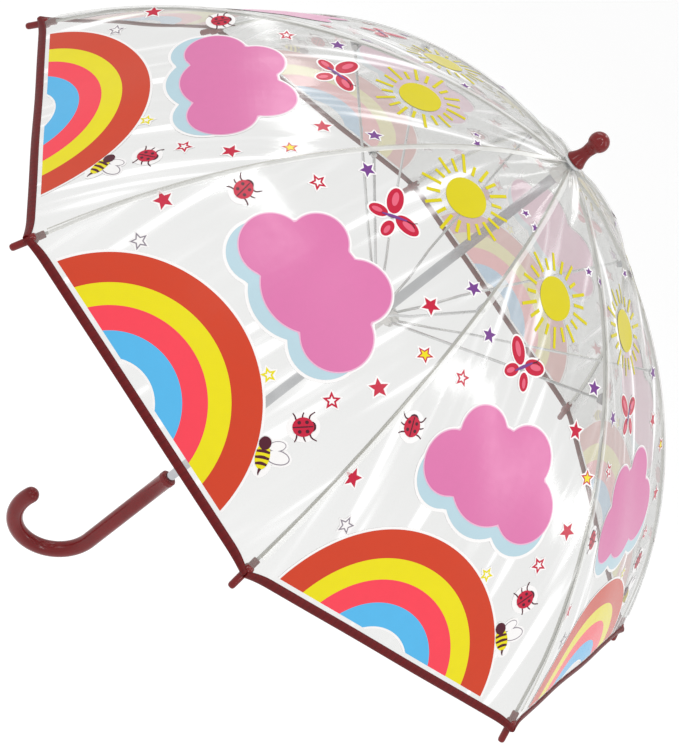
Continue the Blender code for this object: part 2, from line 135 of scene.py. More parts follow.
class Finish:
    """A material in the making. node() adds any node, and shade() sets the Principled shader's sockets."""

    def __init__(self, name):
        self.material = bpy.data.materials.new(name)
        self.material.use_nodes = True
        self.tree = self.material.node_tree
        self.shader = self.tree.nodes["Principled BSDF"]

    def node(self, kind, settings=None, inputs=None, output=0):
        made = self.tree.nodes.new(kind)
        for name, value in (settings or {}).items():
            if name == "stops":
                for element, (place, colour) in zip(made.color_ramp.elements, value):
                    element.position = place
                    element.color = colour
            else:
                setattr(made, name, value)
        self.fill(made, inputs or {})
        return Wire(self, made.outputs[output])

    def fill(self, node, inputs):
        for name, value in inputs.items():
            if isinstance(value, Wire):
                self.tree.links.new(value.socket, node.inputs[name])
            else:
                node.inputs[name].default_value = value

    def shade(self, inputs):
        self.fill(self.shader, inputs)
        return self.material

    def coordinates(self, kind="Object"):
        return self.node("ShaderNodeTexCoord", output=kind)

    def noise(self, vector, scale, detail=2.0):
        inputs = {"Vector": vector, "Scale": scale, "Detail": detail}
        return self.node("ShaderNodeTexNoise", inputs=inputs)

    def stretched(self, vector, scale):
        return self.node("ShaderNodeMapping", inputs={"Vector": vector, "Scale": scale})

    def mixed(self, factor, first, second):
        inputs = {0: factor, 6: first, 7: second}
        return self.node("ShaderNodeMix", {"data_type": "RGBA"}, inputs, 2)

    def bump(self, height, strength, distance):
        inputs = {"Height": height, "Strength": strength, "Distance": distance}
        return self.node("ShaderNodeBump", inputs=inputs, output="Normal")


def linear(red, green, blue):
    """A colour as a painter's chart gives it, from 0 to 255, as the shader's linear colour."""
    return (*(((c / 255 + 0.055) / 1.055) ** 2.4 for c in (red, green, blue)), 1.0)


def maroon_plastic():
    finish = Finish("maroon_plastic")
    place = finish.coordinates()
    cloud = finish.noise(place, 60.0)
    grain = finish.noise(place, 900.0)
    colour = finish.mixed(cloud, linear(98, 7, 10), linear(122, 12, 16))
    return finish.shade(
        {
            "Base Color": colour,
            "Roughness": 0.12 + 0.12 * cloud,
            "Specular IOR Level": 0.42,
            "Normal": finish.bump(grain, 0.06, 0.0002),
        }
    )


def chrome():
    finish = Finish("chromed_steel")
    place = finish.coordinates()
    drawn = finish.noise(finish.stretched(place, (900.0, 900.0, 12.0)), 1.0, 3.0)
    smudge = finish.noise(place, 45.0)
    return finish.shade(
        {
            "Base Color": finish.mixed(smudge, linear(166, 167, 171), linear(198, 199, 202)),
            "Metallic": 1.0,
            "Roughness": 0.07 + 0.14 * smudge,
            "Normal": finish.bump(drawn, 0.08, 0.0001),
        }
    )


def white_rod():
    finish = Finish("white_rod")
    place = finish.coordinates()
    cloud = finish.noise(place, 35.0)
    fibre = finish.noise(finish.stretched(place, (700.0, 700.0, 60.0)), 1.0)
    return finish.shade(
        {
            "Base Color": finish.mixed(cloud, linear(196, 196, 190), linear(214, 214, 208)),
            "Roughness": 0.28 + 0.12 * fibre,
            "Normal": finish.bump(fibre, 0.1, 0.0001),
        }
    )


def white_plastic():
    finish = Finish("white_plastic")
    place = finish.coordinates()
    cloud = finish.noise(place, 80.0)
    grain = finish.noise(place, 1400.0)
    return finish.shade(
        {
            "Base Color": finish.mixed(cloud, linear(222, 222, 219), linear(236, 236, 233)),
            "Roughness": 0.34 + 0.14 * cloud,
            "Normal": finish.bump(grain, 0.12, 0.0002),
        }
    )


def bright_wire():
    """Drawn steel wire with a bright zinc coat, paler and less of a mirror than the chrome."""
    finish = Finish("bright_wire")
    place = finish.coordinates()
    drawn = finish.noise(finish.stretched(place, (40.0, 40.0, 400.0)), 1.0, 3.0)
    cloud = finish.noise(place, 70.0)
    return finish.shade(
        {
            "Base Color": finish.mixed(cloud, linear(196, 197, 198), linear(222, 223, 223)),
            "Metallic": 0.8,
            "Roughness": 0.22 + 0.14 * drawn,
            "Normal": finish.bump(drawn, 0.08, 0.0001),
        }
    )


maroon = maroon_plastic()
chromed = chrome()
wire_steel = bright_wire()
rod_white = white_rod()
hub_white = white_plastic()
smooth_limit = math.radians(38)


def welded(node, name, material):
    """A copy of a frame node with its triangles joined, shaded smooth up to a limit."""
    bpy.ops.object.select_all(action="DESELECT")
    piece = frame["nodes"][node].copy()
    piece.data = piece.data.copy()
    for key in list(piece.keys()):
        del piece[key]
    piece.parent = None
    piece.name = name
    bpy.context.scene.collection.objects.link(piece)
    bpy.context.view_layer.objects.active = piece
    piece.select_set(True)
    bpy.ops.object.mode_set(mode="EDIT")
    bpy.ops.mesh.select_all(action="SELECT")
    bpy.ops.mesh.remove_doubles(threshold=0.000002)
    bpy.ops.mesh.tris_convert_to_quads()
    bpy.ops.object.mode_set(mode="OBJECT")
    bpy.ops.object.shade_smooth_by_angle(angle=smooth_limit)
    piece.data.materials.clear()
    piece.data.materials.append(material)
    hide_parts(node)
    return piece


bodies = frame["record"]["behaviour"]["bodies"]
body_of = {node: body for body, nodes in bodies.items() for node in nodes}
finishes = {
    "chromed_steel": chromed,
    "white_rod": rod_white,
    "white_plastic": hub_white,
    "maroon_plastic": maroon,
}
hard_pieces = ["top_notch", "notch_ring", "runner", "runner_ring", "open_catch", "closed_catch"]
for k in range(1, 9):
    hard_pieces += [f"rib_{k}", f"bracket_{k}", f"stretcher_{k}"]
slot_of = {part["node"]: part["material_slot"] for part in frame["record"]["subparts"]}
for node in hard_pieces:
    material = wire_steel if node.startswith("stretcher") else finishes[slot_of[node]]
    piece = welded(node, f"{node}_finished", material)
    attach(piece, body_of[node])


# Shaft
# A chromed tube, drawn and seamless, with a slot in its wall for each spring catch.

shaft_low, shaft_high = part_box("shaft")
shaft_radius = 0.0040
shaft_wall = 0.0006


def cut_with(piece, cutter):
    """Cuts a helper's shape out of a piece and removes the helper."""
    modifier = piece.modifiers.new("cut", "BOOLEAN")
    modifier.operation = "DIFFERENCE"
    modifier.object = cutter
    bpy.context.view_layer.objects.active = piece
    bpy.ops.object.modifier_apply(modifier=modifier.name)
    bpy.data.objects.remove(cutter)


def settled(piece, name, material):
    """Names a finished piece, gives it its finish, and moves its place into its mesh."""
    bpy.ops.object.select_all(action="DESELECT")
    bpy.context.view_layer.objects.active = piece
    piece.select_set(True)
    bpy.ops.object.transform_apply(location=True, rotation=True, scale=True)
    bpy.ops.object.shade_smooth_by_angle(angle=smooth_limit)
    piece.name = name
    piece.data.materials.clear()
    piece.data.materials.append(material)
    return piece


bpy.ops.object.select_all(action="DESELECT")
bpy.ops.mesh.primitive_cylinder_add(
    vertices=64,
    radius=shaft_radius,
    depth=shaft_high.z - shaft_low.z,
    location=(0, 0, (shaft_high.z + shaft_low.z) / 2),
    end_fill_type="NOTHING",
)
shaft = bpy.context.object
wall = shaft.modifiers.new("wall", "SOLIDIFY")
wall.thickness = shaft_wall
wall.offset = -1
bpy.ops.object.modifier_apply(modifier="wall")
for catch in ("open_catch", "closed_catch"):
    low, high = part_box(catch)
    azimuth = math.atan2(low.y + high.y, low.x + high.x)
    bpy.ops.mesh.primitive_cube_add(size=1, location=(0, 0, (low.z + high.z) / 2))
    cutter = bpy.context.object
    cutter.scale = (0.004, 0.0018, 0.0176)
    cutter.location += Vector((math.cos(azimuth), math.sin(azimuth), 0)) * 0.0048
    toward_flat = 0.0031 if catch == "open_catch" else -0.0031
    cutter.location.z += toward_flat
    cutter.rotation_euler.z = azimuth
    cut_with(shaft, cutter)
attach(settled(shaft, "shaft_tube", chromed), "root")
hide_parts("shaft")


# Handle
# A crook moulded in one piece in glossy maroon plastic. Its upper end has a lip round the shaft.

handle_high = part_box("handle")[1]
handle_radius = 0.0071
grip_half = handle_high.z
crook_radius = 0.036
crook_sweep = math.radians(193)


def all_faces(select):
    """Selects or clears the whole mesh in edit mode."""
    bpy.ops.mesh.select_all(action="SELECT" if select else "DESELECT")


bpy.ops.object.select_all(action="DESELECT")
bpy.ops.mesh.primitive_circle_add(
    vertices=40, radius=handle_radius - 0.0009, fill_type="NGON", location=(0, 0, grip_half)
)
handle = bpy.context.object
bpy.ops.object.mode_set(mode="EDIT")
all_faces(True)


def grow(length, scale=1.0, direction=(0, 0, -1), centre=None):
    """Extrudes the selected end along a direction and scales the new ring about its own middle."""
    move = tuple(length * axis for axis in direction)
    bpy.ops.mesh.extrude_region_move(TRANSFORM_OT_translate={"value": move})
    if scale != 1.0:
        bpy.ops.transform.resize(value=(scale, scale, scale), center_override=centre)


top = grip_half
for drop, radius in ((0.0004, 0.0067), (0.0005, 0.0074), (0.0035, 0.0076), (0.0007, 0.0071)):
    before = radius if drop == 0.0004 else before
    top -= drop
    grow(drop, radius / (handle_radius - 0.0009 if drop == 0.0004 else before), centre=(0, 0, top))
    before = radius
for share in (0.25, 0.5, 0.75, 1.0):
    grow((top + grip_half) * 0.25)
bpy.ops.mesh.spin(
    steps=44,
    angle=crook_sweep,
    center=(crook_radius, 0, -grip_half),
    axis=(0, 1, 0),
)
onward = Vector((math.sin(crook_sweep), 0, -math.cos(crook_sweep)))
end = Vector((crook_radius, 0, -grip_half)) - crook_radius * Vector(
    (math.cos(crook_sweep), 0, math.sin(crook_sweep))
)
turns = [math.radians(degrees) for degrees in (15, 30, 45, 60, 72, 82)]
reached, width = 0.0, 1.0
for turn in turns:
    step = handle_radius * math.sin(turn) - reached
    reached += step
    grow(step, math.cos(turn) / width, onward, end + onward * reached)
    width = math.cos(turn)
bpy.ops.object.mode_set(mode="OBJECT")
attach(settled(handle, "handle_crook", maroon), "root")
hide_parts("handle")


# Tip caps
# A solid maroon peg pushed over the end of each rib. The hem wraps over it, and its outer end
# stands out past the hem as a blunt tip.

arc_rise = math.sin(math.radians(62)) - math.sin(math.radians(7))
canopy_radius = 0.340
rim_height = 0.260
rim_slope = math.radians(62)
crown_slope = math.radians(7)
arc_radius = canopy_radius / arc_rise
arc_middle = Vector((-arc_radius * math.sin(crown_slope), 0, rim_height - arc_radius * math.cos(rim_slope)))
first_rib = math.radians(-18.5)
gore_turn = math.radians(45)
cap_radius = 0.0026
cap_slope = rim_slope - 0.018 / arc_radius
cap_depth = 0.0033


def rib_turn(k):
    """The azimuth of rib k, counted from 1."""
    return first_rib + gore_turn * (k - 1)


outward = Vector((math.sin(cap_slope), 0, math.cos(cap_slope)))
along_cap = Vector((math.cos(cap_slope), 0, -math.sin(cap_slope)))
cap_start = arc_middle + outward * (arc_radius - cap_depth) + along_cap * 0.006
bpy.ops.object.select_all(action="DESELECT")
bpy.ops.mesh.primitive_circle_add(vertices=32, radius=cap_radius * 0.8, fill_type="NGON")
cap = bpy.context.object
bpy.ops.object.mode_set(mode="EDIT")
all_faces(True)
width, reached = 0.8, 0.0
for rise, share in (
    (0.0003, 0.95),
    (0.0005, 1.0),
    (0.0048, 1.0),
    (0.0010, 1.35),
    (0.0022, 1.5),
    (0.0030, 1.5),
    (0.0010, 1.3),
    (0.0006, 1.02),
    (0.0094, 1.0),
    (0.0012, 0.9),
    (0.0007, 0.68),
    (0.0003, 0.4),
):
    reached += rise
    grow(rise, share / width, (0, 0, 1), (0, 0, reached))
    width = share
all_faces(True)
bpy.ops.mesh.normals_make_consistent(inside=False)
bpy.ops.object.mode_set(mode="OBJECT")
cap.rotation_euler = along_cap.to_track_quat("Z", "Y").to_euler()
cap.location = cap_start
settled(cap, "tip_cap_master", maroon)
for k in range(1, 9):
    tip = cap.copy()
    tip.data = cap.data.copy()
    tip.data.transform(Matrix.Rotation(rib_turn(k), 4, "Z"))
    tip.name = f"tip_{k}"
    bpy.context.scene.collection.objects.link(tip)
    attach(tip, f"rib_{k}")
    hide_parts(f"tip_cap_{k}")
bpy.data.objects.remove(cap)


# Canopy film
# Eight gores of clear film, welded together over the ribs. Each gore is flat across and bends
# only along its length. It is made as two halves, which meet at the fold line in its middle.

film_hole = 0.006
half_gore = gore_turn / 2
hole_slope = math.asin((film_hole - arc_middle.x) / arc_radius)
slopes = np.linspace(hole_slope, rim_slope, 500)
middle_radius = (arc_middle.x + arc_radius * np.sin(slopes)) * math.cos(half_gore)
heights = arc_middle.z + arc_radius * np.cos(slopes)
lengths = np.concatenate([[0.0], np.cumsum(np.hypot(np.diff(middle_radius), np.diff(heights)))])
gore_length = float(lengths[-1])


def slope_up(up):
    """The slope where a point lies this far up the middle of a gore from its rim."""
    return np.interp(gore_length - up, lengths, slopes)


def half_width(up):
    """Half a gore's width, this far up from its rim."""
    return (arc_middle.x + arc_radius * np.sin(slope_up(up))) * math.sin(half_gore)


def crumple(across, up):
    """How far the film stands off its even shape: creases gather towards the crown."""
    share = np.clip(across / half_width(up), -1, 1)
    gather = np.clip((up - 0.255) / 0.09, 0, 1) * np.clip((gore_length - 0.012 - up) / 0.035, 0, 1)
    wave = np.sin(4.7 * share + 31 * up) + 0.6 * np.sin(9.1 * share - 57 * up + 1.0)
    slack = 0.0007 * np.sin(2.2 * share + 14 * up) + 0.0004 * np.sin(7.3 * share + 23 * up)
    return (0.0011 * gather * wave + slack) * (1 - share**2)


def on_gore(flat, gore):
    """Bends points (across, up from the rim, out) of a flat gore on to the canopy."""
    across, up, out = np.asarray(flat, float).T
    held = np.clip(up, 0, gore_length)
    slope = slope_up(held)
    beyond = np.minimum(up, 0)
    run = np.stack([math.cos(half_gore) * np.cos(slope), -np.sin(slope)], axis=1)
    run /= np.linalg.norm(run, axis=1)[:, None]
    lift = out + crumple(across, held)
    radial = np.interp(slope, slopes, middle_radius) - run[:, 1] * lift - run[:, 0] * beyond
    z = np.interp(slope, slopes, heights) + run[:, 0] * lift - run[:, 1] * beyond
    turn = rib_turn(gore) + half_gore
    x = radial * math.cos(turn) - across * math.sin(turn)
    y = radial * math.sin(turn) + across * math.cos(turn)
    return np.stack([x, y, z], axis=1)


def read_points(piece):
    points = np.empty(len(piece.data.vertices) * 3, np.float32)
    piece.data.vertices.foreach_get("co", points)
    return points.reshape(-1, 3).astype(float)


def write_points(piece, points):
    piece.data.vertices.foreach_set("co", np.asarray(points, np.float32).ravel())
    piece.data.update()


def half_bodies(gore, side):
    """The names of the rib and of the frame's film node for one half of a gore."""
    if side < 0:
        return f"rib_{gore}", f"film_{gore}_left"
    return f"rib_{gore % 8 + 1}", f"film_{gore % 8 + 1}_right"


def hang(piece, gore, side):
    """Bends a flat piece on to its gore.
    """
    flat = read_points(piece)
    write_points(piece, on_gore(flat, gore))
    corner = [(side * float(half_width(0.0)), 0.0, 0.0), (0.0, 0.0, 0.0)]
    start, end = on_gore(corner, gore)
    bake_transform(piece)
    share = 1 - np.abs(flat[:, 0]) / half_width(np.clip(flat[:, 1], 0, gore_length))


def clear_film():
    """Soft clear sheet: it shows milky where it is seen edge-on, with streaks from its rolling, and sparse
    white streaks painted in that are partly crease marks and partly painted highlights.
    """
    finish = Finish("clear_film")
    place = finish.coordinates("UV")
    streaks = finish.noise(finish.stretched(place, (38.0, 5.0, 1.0)), 1.0, 2.0)
    creases = finish.noise(finish.stretched(place, (70.0, 16.0, 1.0)), 1.0, 2.0)
    haze = finish.noise(finish.stretched(place, (16.0, 9.0, 1.0)), 1.0, 2.0)
    # Sparse white streaks: partly whitened crease marks, partly painted highlights that whiten the film's
    # colour and raise its alpha.
    crease_marks_and_painted_highlights = finish.noise(finish.stretched(place, (90.0, 6.0, 1.0)), 1.0, 1.0) ** 12.0
    slant = finish.node("ShaderNodeLayerWeight", inputs={"Blend": 0.5}, output="Facing")
    film_grey = finish.mixed(haze, linear(142, 143, 139), linear(170, 171, 166))
    return finish.shade(
        {
            # The white mixed in here is the painted highlight streaks, partly crease marks.
            "Base Color": finish.mixed(150.0 * crease_marks_and_painted_highlights, film_grey, linear(255, 255, 255)),
            "Roughness": 0.04 + 0.12 * creases,
            "IOR": 1.6,
            "Specular IOR Level": 1.0,
            "Alpha": 0.30 + 0.12 * haze + 25.0 * crease_marks_and_painted_highlights + 0.25 * slant**3.0,
            "Normal": finish.bump(streaks + 0.35 * creases, 0.24, 0.0016),
        }
    )


film_clear = clear_film()
fine_across, fine_up = 12, 84
bpy.ops.object.select_all(action="DESELECT")
bpy.ops.mesh.primitive_grid_add(x_subdivisions=fine_across, y_subdivisions=fine_up, size=1)
sheet = bpy.context.object
square = read_points(sheet) + (0.5, 0.5, 0)
half_area = float(np.mean(half_width(np.linspace(0, gore_length, 400)))) * gore_length
for side in (-1, 1):
    flat = square.copy()
    flat[:, 1] = square[:, 1] * gore_length
    flat[:, 0] = side * square[:, 0] * half_width(flat[:, 1])
    for gore in range(1, 9):
        half = sheet.copy()
        half.data = sheet.data.copy()
        half.name = f"film_{gore}_{'left' if side < 0 else 'right'}_of_gore"
        bpy.context.scene.collection.objects.link(half)
        write_points(half, flat)
        bpy.ops.object.select_all(action="DESELECT")
        bpy.context.view_layer.objects.active = half
        half.select_set(True)
        if side < 0:
            bpy.ops.object.mode_set(mode="EDIT")
            all_faces(True)
            bpy.ops.mesh.flip_normals()
            bpy.ops.object.mode_set(mode="OBJECT")
        uvs = half.data.uv_layers.active.data
        corners = np.empty(len(half.data.loops), np.int32)
        half.data.loops.foreach_get("vertex_index", corners)
        uvs.foreach_set("uv", (flat[corners, :2] + (0.31 * gore, 0)).astype(np.float32).ravel())
        bpy.ops.object.shade_smooth()
        half.data.materials.clear()
        half.data.materials.append(film_clear)
        hang(half, gore, side)
        rib, film = half_bodies(gore, side)
        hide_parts(film)
bpy.data.objects.remove(sheet)


# Printed pattern
# Each gore is printed alike with opaque inks over a white ground, on the outside of the film. The
# inks show paler from the inside, through the white. Places are measured on the flat gore, in
# millimetres from the middle of its rim.

red_orange = linear(214, 66, 34)
yellow = linear(242, 230, 10)
coral = linear(255, 70, 88)
sky = linear(88, 190, 242)
pink = linear(226, 124, 178)
rose_edge = linear(244, 186, 216)
pale_blue = linear(190, 220, 230)
white_ink = linear(255, 255, 253)
sun_yellow = linear(222, 210, 16)
rose = linear(236, 104, 130)
crimson = linear(204, 26, 62)
purple = linear(122, 66, 146)
dark_ink = linear(84, 22, 42)
grey_ink = linear(150, 142, 152)
film_gap = 0.14
ink_step = 0.06
strip = 5.5

shapes = []


def smoothed(points, steps=6):
    """A smooth line through chosen points."""
    points = np.array(points, float)
    points = np.concatenate([2 * points[:1] - points[1:2], points, 2 * points[-1:] - points[-2:-1]])
    line = []
    for a, b, c, d in zip(points, points[1:], points[2:], points[3:]):
        for t in np.arange(steps) / steps:
            bend = 2 * b + (c - a) * t + (2 * a - 5 * b + 4 * c - d) * t**2
            line.append((bend + (3 * b - a - 3 * c + d) * t**3) / 2)
    line.append(points[-2])
    return np.array(line)


def leaf(points, widths):
    """A shape that swells and tapers along a smooth line."""
    line = smoothed(np.column_stack([points, widths]))
    middle, width = line[:, :2], np.maximum(line[:, 2:], 0.4) / 2
    run = np.gradient(middle, axis=0)
    run /= np.linalg.norm(run, axis=1)[:, None]
    side = np.column_stack([-run[:, 1], run[:, 0]])
    return np.concatenate([middle + side * width, (middle - side * width)[::-1]])


def oval(middle, wide, tall, turn=0.0, sides=32):
    angle = np.linspace(0, 2 * math.pi, sides, endpoint=False)
    points = np.column_stack([wide * np.cos(angle), tall * np.sin(angle)])
    c, s = math.cos(math.radians(turn)), math.sin(math.radians(turn))
    return points @ np.array([[c, s], [-s, c]]) + middle


def star(middle, radius, turn=0.0):
    angle = math.radians(90 + turn) + np.arange(10) * math.pi / 5
    reach = np.where(np.arange(10) % 2 == 0, radius, radius * 0.45)
    return np.column_stack([reach * np.cos(angle), reach * np.sin(angle)]) + middle


def band(middle, inner, outer):
    """Half a ring, standing on the hem."""
    angle = np.linspace(math.radians(-2), math.radians(182), 90)
    round_line = np.column_stack([np.cos(angle), np.sin(angle)])
    return np.concatenate([round_line * outer, (round_line * inner)[::-1]]) + middle


def grown(points, by):
    """The same outline, moved outwards."""
    run = np.roll(points, -1, axis=0) - np.roll(points, 1, axis=0)
    run /= np.maximum(np.linalg.norm(run, axis=1), 1e-6)[:, None]
    x, y = points.T
    turning = np.sum(x * np.roll(y, -1) - y * np.roll(x, -1))
    return points + np.column_stack([run[:, 1], -run[:, 0]]) * by * math.copysign(1, turning)


def ink(points, colour, layer=1, halo=0.0):
    """Prints a shape, over a white ground that stands out round it by the halo."""
    if halo:
        shapes.append((grown(points, halo), white_ink, 0))
    shapes.append((np.asarray(points, float), colour, layer))


def print_rainbow():
    middle = (-9, -15)
    shapes.append((band(middle, 29.5, 101.8), white_ink, 0))
    for inner, outer, colour in (
        (80, 100, red_orange),
        (65, 80, yellow),
        (48.5, 65, coral),
        (31, 48.5, sky),
    ):
        shapes.append((band(middle, inner, outer), colour, 1))


def cloud(puffs, wider=0.0):
    """The outline round overlapping puffs, each an across, up and radius, as the first one sees it."""
    puffs = np.array(puffs, float)
    centre = puffs[0, :2]
    angle = np.linspace(0, 2 * math.pi, 144, endpoint=False)
    way = np.column_stack([np.cos(angle), np.sin(angle)])
    toward = way @ (puffs[:, :2] - centre).T
    inside = (puffs[:, 2] + wider) ** 2 - np.sum((puffs[:, :2] - centre) ** 2, axis=1) + toward**2
    reach = np.where(inside > 0, toward + np.sqrt(np.maximum(inside, 0)), 0)
    return way * reach.max(axis=1)[:, None] + centre


def print_cloud():
    """A plain pink cloud over the rainbow, with a pale underside."""
    puffs = [(-4, 140, 34), (-40, 132, 22), (34, 134, 24), (-26, 160, 20), (16, 164, 22)]
    lowered = [(across, up - 10, radius) for across, up, radius in puffs]
    for body, colour, layer in ((lowered, pale_blue, 1), (puffs, pink, 3)):
        shapes.append((cloud(body, 2.2), white_ink, 0))
        shapes.append((cloud(body), colour, layer))
    shapes.append((cloud(puffs, 0.9), rose_edge, 2))


def print_sun():
    middle = np.array((-6, 278))
    ink(oval(middle, 16, 16), sun_yellow, 2)
    for i in range(20):
        angle = i * math.pi / 10
        run = np.array((math.cos(angle), math.sin(angle)))
        side = np.array((-run[1], run[0]))
        reach = (36, 31, 34, 29)[i % 4]
        near, far = middle + run * 20.5, middle + run * reach
        ink([near - side * 1.3, near + side * 1.3, far + side * 1.2, far - side * 1.2], sun_yellow, 1)


def print_butterfly():
    middle = np.array((-17, 217))
    for spot, wide, tall, turn in (
        ((-9, 8), 10, 6, 130),
        ((10, 5), 9.5, 5.6, 20),
        ((-9, -7), 7, 4.4, 40),
        ((5, -9), 6.5, 4.2, 110),
    ):
        ink(oval(middle + spot, wide, tall, turn), crimson, 1, 1.3)
        ink(oval(middle + np.array(spot) * 1.1, wide * 0.55, tall * 0.4, turn), rose, 3)
    ink(leaf([middle + (-6, -6), middle, middle + (7, 7)], [1.0, 2.4, 1.0]), purple, 4)
    for end in ((12, 13), (14, 9)):
        ink(leaf([middle + (6, 6), middle + (10, 9), middle + end], [0.6, 0.6, 0.6]), dark_ink, 2)


def print_ladybird(middle, turn):
    middle = np.array(middle)
    c, s = math.cos(math.radians(turn)), math.sin(math.radians(turn))
    turned = np.array([[c, s], [-s, c]])
    shapes.append((oval(middle, 10.0, 11.0, turn), white_ink, 0))
    for place in (-0.8, 0.0, 0.8):
        for side in (-1, 1):
            legs = np.array([(3, place * 5), (7, place * 6), (9.5, place * 9 + 1)]) * (side, 1)
            ink(leaf(legs @ turned + middle, [1.0, 1.0, 0.7]), dark_ink, 1)
    ink(oval(middle + np.array((0, 5.6)) @ turned, 3.4, 2.8, turn), dark_ink, 2)
    ink(oval(middle, 6.4, 7.0, turn), crimson, 3, 0.8)
    ink(leaf(np.array([(0, -6.6), (0, 0), (0, 6.4)]) @ turned + middle, [0.7, 0.9, 0.7]), dark_ink, 4)
    for spot in ((-3, 2.6), (3, 2.6), (-3, -2.4), (3, -2.4)):
        ink(oval(middle + np.array(spot) @ turned, 1.2, 1.2, 0, 12), dark_ink, 4)


def print_bee(middle):
    """Its axis points from the tail to the head, and both wings are on one side."""
    c, s = math.cos(math.radians(135)), math.sin(math.radians(135))
    turned = np.array([[c, s], [-s, c]])

    def placed(points):
        return np.array(points, float) @ turned + middle

    shapes.append((oval(middle, 14.0, 7.5, 135), white_ink, 0))
    for spot, turn, size in (((1, -9.5), 42, 1.0), ((8, -8), 62, 0.72)):
        ink(oval(placed(spot), 8.0 * size, 4.8 * size, turn), grey_ink, 1, 1.4)
        ink(oval(placed(spot), 7.3 * size, 4.1 * size, turn), white_ink, 2)
    ink(oval(middle, 8.6, 4.8, 135), yellow, 3, 0.8)
    for off in (-5.2, -1.2, 2.8):
        tall = 4.6 * math.sqrt(1 - (off / 9) ** 2)
        ink(leaf(placed([(off, -tall), (off + 0.6, 0), (off, tall)]), [1.5, 2.1, 1.5]), dark_ink, 4)
    ink(oval(placed((8.6, 0)), 4.4, 4.0, 135), dark_ink, 5, 0.6)
    ink(leaf(placed([(-8, 0), (-10.5, 0.6), (-12.5, 0.4)]), [2.0, 1.2, 0.4]), dark_ink, 3)


def print_stars():
    for place, radius, turn in (((-103, 88), 7.0, 10), ((48, 202), 7.0, 20), ((77, 138), 7.0, -8)):
        ink(star(place, radius, turn), crimson, 1, 1.8)
    for place, turn in (((-62, 184), 12), ((68, 107), -14)):
        ink(star(place, 6.4, turn), crimson, 1, 1.6)
        ink(star(place, 3.2, turn), white_ink, 2)
    ink(star((-88, 60), 6.4, 6), grey_ink, 1, 1.6)
    ink(star((-88, 60), 4.2, 6), white_ink, 2)
    ink(star((32, 82), 5.6, 0), yellow, 1, 1.6)
    ink(star((32, 82), 2.6, 0), white_ink, 2)
    ink(star((74, 178), 6.2, 24), crimson, 1, 1.6)
    ink(star((74, 178), 4.0, 24), yellow, 2)
    for place, radius in (((-54, 221), 6.0), ((52, 238), 6.0), ((-38, 318), 3.8), ((22, 318), 3.2)):
        ink(star(place, radius, 15), purple, 1, 1.5)


print_rainbow()
print_cloud()
print_sun()
print_butterfly()
print_ladybird((-82, 137), 15)
print_ladybird((72.5, 82), -30)
print_bee((74, 50))
print_stars()


def paler(colour):
    """An ink as it shows from the inside of the film, through its white ground."""
    return tuple(channel * 0.45 + ground * 0.55 for channel, ground in zip(colour, white_ink))


points, faces, inks = [], [], []
for inside in (False, True):
    for outline, colour, layer in shapes:
        level = (film_gap + ink_step * layer) * (-1 if inside else 1)
        order = range(len(points), len(points) + len(outline))
        x, y = outline.T
        anticlockwise = np.sum(x * np.roll(y, -1) - y * np.roll(x, -1)) > 0
        faces.append(list(order) if anticlockwise != inside else list(order)[::-1])
        points += [(px, py, level) for px, py in outline]
        inks += [paler(colour) if inside else colour] * len(outline)
pattern_mesh = bpy.data.meshes.new("pattern")
pattern_mesh.from_pydata(points, [], faces)
colour_layer = pattern_mesh.color_attributes.new("ink", "FLOAT_COLOR", "POINT")
colour_layer.data.foreach_set("color", np.array(inks, np.float32).ravel())
pattern = bpy.data.objects.new("pattern", pattern_mesh)
bpy.context.scene.collection.objects.link(pattern)


def bisected(place, normal, lower=False, upper=False):
    """Cuts everything in edit mode along a line, and clears one side of it if asked."""
    all_faces(True)
    bpy.ops.mesh.bisect(
        plane_co=place, plane_no=normal, use_fill=False, clear_inner=lower, clear_outer=upper
    )


def printed_inks():
    """Opaque screen inks. Each prints a little unevenly, and is glossy under the film's own gloss."""
    finish = Finish("printed_inks")
    ink_colour = finish.node("ShaderNodeAttribute", {"attribute_name": "ink"}, output="Color")
    place = finish.coordinates()
    uneven = finish.noise(place, 110.0, 3.0)
    screen = finish.noise(place, 1500.0)
    shaded = finish.node(
        "ShaderNodeMix",
        {"data_type": "RGBA", "blend_type": "MULTIPLY"},
        {0: 0.68 + 0.24 * uneven, 6: ink_colour, 7: (0.78, 0.76, 0.77, 1)},
        2,
    )
    return finish.shade(
        {
            "Base Color": shaded,
            "Specular IOR Level": 0.3,
            "Roughness": 0.14 + 0.14 * uneven,
            "Normal": finish.bump(screen, 0.05, 0.0001),
        }
    )


inks_finish = printed_inks()
pattern.data.materials.append(inks_finish)
for side in (-1, 1):
    half = pattern.copy()
    half.data = pattern.data.copy()
    bpy.context.scene.collection.objects.link(half)
    bpy.ops.object.select_all(action="DESELECT")
    bpy.context.view_layer.objects.active = half
    half.select_set(True)
    bpy.ops.object.mode_set(mode="EDIT")
    all_faces(True)
    bpy.ops.mesh.quads_convert_to_tris(ngon_method="BEAUTY")
    bisected((0, 0, 0), (1, 0, 0), lower=side > 0, upper=side < 0)
    bisected((0, 8.4, 0), (0, 1, 0), lower=True)
    for row in range(1, int(325 / strip)):
        bisected((0, 3 + row * strip, 0), (0, 1, 0))
    for column in range(1, 15):
        bisected((side * column * 8, 0, 0), (1, 0, 0))
    bpy.ops.object.mode_set(mode="OBJECT")
    flat = read_points(half) * 0.001
    for gore in range(1, 9):
        mark = half.copy()
        mark.data = half.data.copy()
        mark.name = f"print_{gore}_{'left' if side < 0 else 'right'}"
        bpy.context.scene.collection.objects.link(mark)
        write_points(mark, flat)
        hang(mark, gore, side)
    bpy.data.objects.remove(half)
bpy.data.objects.remove(pattern)


# Seams
# Where two gores meet, the film is lapped and welded in one narrow line over each rib.


